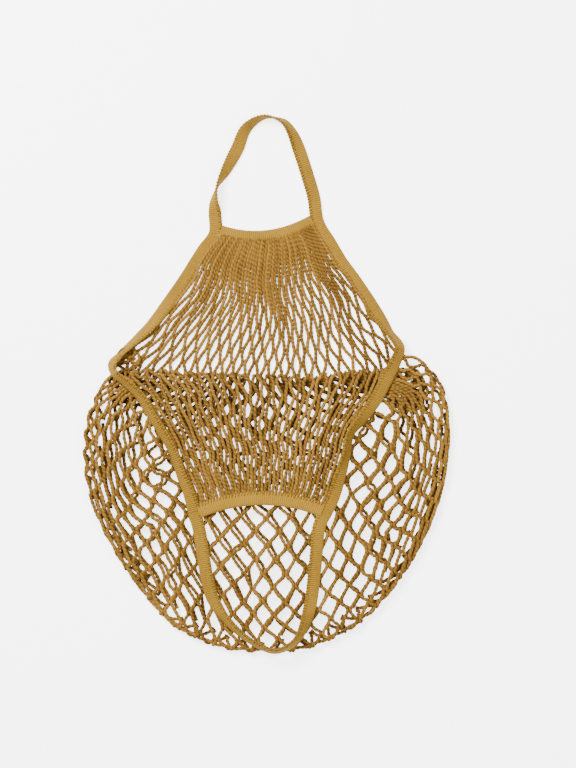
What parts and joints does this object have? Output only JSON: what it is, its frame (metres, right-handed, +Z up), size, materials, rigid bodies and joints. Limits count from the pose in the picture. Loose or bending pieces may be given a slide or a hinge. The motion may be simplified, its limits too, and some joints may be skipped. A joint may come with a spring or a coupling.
{
  "type": "string shopping bag",
  "caption": "Empty cotton string shopping bag lying flat, with a diamond-mesh net pouch, a turned-down front, ribbed tape edges and two long tape handles.",
  "frame": {"origin": "middle of the bag's footprint, on the ground it lies on", "axes": "+X to the bag's right as it lies, +Y from the foot of the net towards the back handle, +Z up from the ground"},
  "size_m": [0.366, 0.5366, 0.0255],
  "materials": {
    "cotton_net": "matte twisted cotton cord, ochre",
    "cotton_tape": "matte ribbed knitted cotton tape, ochre"
  },
  "bodies": {
    "root": {"net_back": "cotton_net", "net_front": "cotton_net", "net_side": "cotton_net", "net_flap": "cotton_net", "back_mouth_band": "cotton_tape", "front_mouth_band": "cotton_tape", "back_handle": "cotton_tape", "front_handle": "cotton_tape", "back_edge_left": "cotton_tape", "back_edge_right": "cotton_tape", "front_edge_left": "cotton_tape", "front_edge_right": "cotton_tape"}
  },
  "joints": []
}
